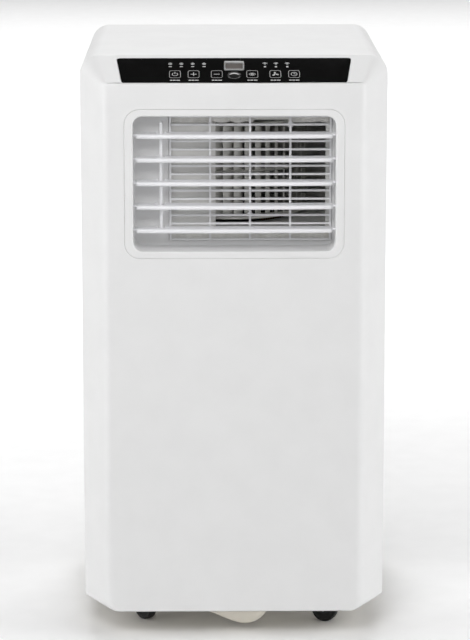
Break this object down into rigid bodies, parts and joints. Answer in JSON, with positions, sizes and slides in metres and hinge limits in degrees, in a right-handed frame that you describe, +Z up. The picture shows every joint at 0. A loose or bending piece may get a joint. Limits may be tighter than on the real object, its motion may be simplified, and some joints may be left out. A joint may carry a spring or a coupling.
{
  "type": "portable air conditioner",
  "caption": "Upright wheeled air conditioner with bevelled front, tilting louvre outlet, sloped control panel, rear intake grilles and round exhaust outlet",
  "frame": {"origin": "on the floor, under the centre of the cabinet's bounding box", "axes": "+Z up; the control panel and louvres face -Y; +X is to the right seen from the front"},
  "size_m": [0.345, 0.33, 0.665],
  "materials": {
    "casing_white": "fine-textured matte white ABS",
    "inner_white": "satin white ABS",
    "panel_black": "gloss black overlay",
    "smoked_window": "smoked translucent polycarbonate",
    "clear_guide": "frosted light guide",
    "black_plastic": "matte black nylon",
    "black_rubber": "matte black rubber",
    "natural_abs": "natural beige plastic",
    "grey_plastic": "moulded grey plastic",
    "zinc_steel": "zinc-plated steel",
    "black_paint": "satin black paint",
    "fin_aluminium": "mill-finish fin stock",
    "copper": null,
    "circuit_green": "solder-mask green",
    "filter_mesh": "woven nylon mesh"
  },
  "bodies": {
    "cabinet": {"front_panel": "casing_white", "casing_wrap": "casing_white", "rear_panel": "casing_white", "left_handle_cup": "casing_white", "right_handle_cup": "casing_white", "base_pan": "natural_abs", "louver_frame": "casing_white", "outlet_grille": "inner_white", "control_fascia": "panel_black", "display_window": "smoked_window", "ir_receiver": "smoked_window", "indicator_light_guide": "clear_guide", "control_board": "circuit_green", "evaporator_scroll": "grey_plastic", "evaporator_motor": "black_paint", "condenser_scroll": "grey_plastic", "condenser_motor": "black_paint", "exhaust_duct": "grey_plastic", "exhaust_collar": "casing_white", "lower_intake_grille": "casing_white", "evaporator_coil": "fin_aluminium", "condenser_coil": "fin_aluminium", "drain_tray": "natural_abs", "compressor": "black_paint", "accumulator": "black_paint", "suction_pipe": "copper", "discharge_pipe": "copper", "capillary_tube": "copper", "electrical_box": "zinc_steel", "cord_gland": "black_plastic"},
    "louver_blade_1": {"louver_blade_1": "inner_white"},
    "louver_blade_2": {"louver_blade_2": "inner_white"},
    "louver_blade_3": {"louver_blade_3": "inner_white"},
    "louver_blade_4": {"louver_blade_4": "inner_white"},
    "louver_blade_5": {"louver_blade_5": "inner_white"},
    "louver_link": {"louver_link": "inner_white"},
    "evaporator_blower": {"evaporator_blower_wheel": "grey_plastic"},
    "condenser_blower": {"condenser_blower_wheel": "grey_plastic"},
    "filter_cassette": {"upper_intake_grille": "casing_white", "upper_filter": "filter_mesh"},
    "upper_drain_plug": {"upper_drain_plug": "black_rubber"},
    "lower_drain_plug": {"lower_drain_plug": "black_rubber"},
    "caster_swivel_front_left": {"caster_fork_front_left": "black_plastic", "caster_axle_front_left": "zinc_steel"},
    "caster_wheel_front_left": {"caster_wheel_front_left": "black_rubber"},
    "caster_swivel_front_right": {"caster_fork_front_right": "black_plastic", "caster_axle_front_right": "zinc_steel"},
    "caster_wheel_front_right": {"caster_wheel_front_right": "black_rubber"},
    "caster_swivel_rear_left": {"caster_fork_rear_left": "black_plastic", "caster_axle_rear_left": "zinc_steel"},
    "caster_wheel_rear_left": {"caster_wheel_rear_left": "black_rubber"},
    "caster_swivel_rear_right": {"caster_fork_rear_right": "black_plastic", "caster_axle_rear_right": "zinc_steel"},
    "caster_wheel_rear_right": {"caster_wheel_rear_right": "black_rubber"},
    "button_power": {"button_power": "panel_black"},
    "button_temp_up": {"button_temp_up": "panel_black"},
    "button_temp_down": {"button_temp_down": "panel_black"},
    "button_mode": {"button_mode": "panel_black"},
    "button_speed": {"button_speed": "panel_black"},
    "button_timer": {"button_timer": "panel_black"}
  },
  "joints": [
    {"name": "louver_blade_1_tilt", "type": "hinge", "parent": "cabinet", "child": "louver_blade_1", "pos_m": [0, -0.153, 0.5808], "axis": [1, 0, 0], "range_deg": [-40, 25]},
    {"name": "louver_blade_2_tilt", "type": "hinge", "parent": "cabinet", "child": "louver_blade_2", "pos_m": [0, -0.153, 0.5541], "axis": [1, 0, 0], "range_deg": [-40, 25]},
    {"name": "louver_blade_3_tilt", "type": "hinge", "parent": "cabinet", "child": "louver_blade_3", "pos_m": [0, -0.153, 0.5274], "axis": [1, 0, 0], "range_deg": [-40, 25]},
    {"name": "louver_blade_4_tilt", "type": "hinge", "parent": "cabinet", "child": "louver_blade_4", "pos_m": [0, -0.153, 0.5007], "axis": [1, 0, 0], "range_deg": [-40, 25]},
    {"name": "louver_blade_5_tilt", "type": "hinge", "parent": "cabinet", "child": "louver_blade_5", "pos_m": [0, -0.153, 0.474], "axis": [1, 0, 0], "range_deg": [-40, 25]},
    {"name": "louver_link_pivot", "type": "hinge", "parent": "louver_blade_1", "child": "louver_link", "pos_m": [-0.0818, -0.147, 0.5808], "axis": [1, 0, 0], "range_deg": [-25, 40]},
    {"name": "evaporator_blower_spin", "type": "hinge", "parent": "cabinet", "child": "evaporator_blower", "pos_m": [-0.002, -0.027, 0.533], "axis": [0, 0, 1], "continuous": true},
    {"name": "condenser_blower_spin", "type": "hinge", "parent": "cabinet", "child": "condenser_blower", "pos_m": [-0.066, -0.04, 0.17], "axis": [0, 1, 0], "continuous": true},
    {"name": "filter_pull", "type": "slide", "parent": "cabinet", "child": "filter_cassette", "axis": [0, 1, 0], "range_m": [0, 0.06]},
    {"name": "upper_drain_plug_pull", "type": "slide", "parent": "cabinet", "child": "upper_drain_plug", "axis": [0, 1, 0], "range_m": [0, 0.025]},
    {"name": "lower_drain_plug_pull", "type": "slide", "parent": "cabinet", "child": "lower_drain_plug", "axis": [0, 1, 0], "range_m": [0, 0.025]},
    {"name": "caster_swivel_front_left_turn", "type": "hinge", "parent": "cabinet", "child": "caster_swivel_front_left", "pos_m": [-0.097, -0.103, 0.034], "axis": [0, 0, 1], "continuous": true},
    {"name": "caster_wheel_front_left_roll", "type": "hinge", "parent": "caster_swivel_front_left", "child": "caster_wheel_front_left", "pos_m": [-0.10343, -0.09534, 0.015], "axis": [-0.766, -0.6428, 0], "continuous": true},
    {"name": "caster_swivel_front_right_turn", "type": "hinge", "parent": "cabinet", "child": "caster_swivel_front_right", "pos_m": [0.097, -0.103, 0.034], "axis": [0, 0, 1], "continuous": true},
    {"name": "caster_wheel_front_right_roll", "type": "hinge", "parent": "caster_swivel_front_right", "child": "caster_wheel_front_right", "pos_m": [0.1064, -0.10642, 0.015], "axis": [0.342, 0.9397, 0], "continuous": true},
    {"name": "caster_swivel_rear_left_turn", "type": "hinge", "parent": "cabinet", "child": "caster_swivel_rear_left", "pos_m": [-0.097, 0.11, 0.034], "axis": [0, 0, 1], "continuous": true},
    {"name": "caster_wheel_rear_left_roll", "type": "hinge", "parent": "caster_swivel_rear_left", "child": "caster_wheel_rear_left", "pos_m": [-0.10343, 0.11766, 0.015], "axis": [-0.766, -0.6428, 0], "continuous": true},
    {"name": "caster_swivel_rear_right_turn", "type": "hinge", "parent": "cabinet", "child": "caster_swivel_rear_right", "pos_m": [0.097, 0.11, 0.034], "axis": [0, 0, 1], "continuous": true},
    {"name": "caster_wheel_rear_right_roll", "type": "hinge", "parent": "caster_swivel_rear_right", "child": "caster_wheel_rear_right", "pos_m": [0.1064, 0.10658, 0.015], "axis": [0.342, 0.9397, 0], "continuous": true},
    {"name": "button_power_press", "type": "slide", "parent": "cabinet", "child": "button_power", "axis": [0, 0.4472, -0.8944], "range_m": [0, 0.0008], "stiffness_N_per_m": 900},
    {"name": "button_temp_up_press", "type": "slide", "parent": "cabinet", "child": "button_temp_up", "axis": [0, 0.4472, -0.8944], "range_m": [0, 0.0008], "stiffness_N_per_m": 900},
    {"name": "button_temp_down_press", "type": "slide", "parent": "cabinet", "child": "button_temp_down", "axis": [0, 0.4472, -0.8944], "range_m": [0, 0.0008], "stiffness_N_per_m": 900},
    {"name": "button_mode_press", "type": "slide", "parent": "cabinet", "child": "button_mode", "axis": [0, 0.4472, -0.8944], "range_m": [0, 0.0008], "stiffness_N_per_m": 900},
    {"name": "button_speed_press", "type": "slide", "parent": "cabinet", "child": "button_speed", "axis": [0, 0.4472, -0.8944], "range_m": [0, 0.0008], "stiffness_N_per_m": 900},
    {"name": "button_timer_press", "type": "slide", "parent": "cabinet", "child": "button_timer", "axis": [0, 0.4472, -0.8944], "range_m": [0, 0.0008], "stiffness_N_per_m": 900}
  ],
  "couplings": [
    {"joint": "louver_blade_2_tilt", "follows": "louver_blade_1_tilt", "ratio": 1},
    {"joint": "louver_blade_3_tilt", "follows": "louver_blade_1_tilt", "ratio": 1},
    {"joint": "louver_blade_4_tilt", "follows": "louver_blade_1_tilt", "ratio": 1},
    {"joint": "louver_blade_5_tilt", "follows": "louver_blade_1_tilt", "ratio": 1},
    {"joint": "louver_link_pivot", "follows": "louver_blade_1_tilt", "ratio": -1}
  ]
}
